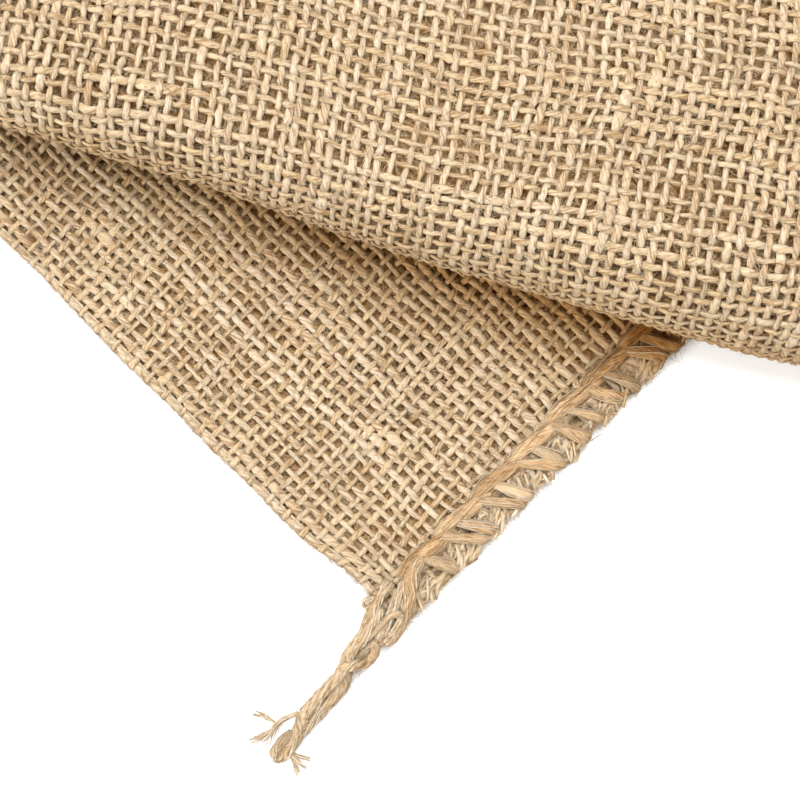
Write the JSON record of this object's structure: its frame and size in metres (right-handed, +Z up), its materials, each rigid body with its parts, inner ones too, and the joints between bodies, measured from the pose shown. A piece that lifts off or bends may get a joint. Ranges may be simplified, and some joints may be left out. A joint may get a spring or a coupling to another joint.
{
  "type": "jute sack",
  "caption": "Empty hessian sack lying flat, its lower end pleated under so that one overlocked corner and its twine tail show.",
  "frame": {"origin": "middle of the lying sack's outline, on the surface it rests on, its loose twine tail left out", "axes": "+Z up from the surface; +Y along the sack from its pleat to its mouth; +X across it from the folded side to the sewn side"},
  "size_m": [0.44, 0.5201, 0.0457],
  "materials": {
    "hessian": "open plain weave of natural jute yarn, matt and hairy",
    "seam_twine": "soft spun jute twine, matt, loosely twisted"
  },
  "bodies": {
    "root": {"sack_cloth": "hessian", "bottom_seam": "seam_twine", "side_seam": "seam_twine", "chain_tail": "seam_twine", "frayed_ends": "seam_twine"}
  },
  "joints": []
}
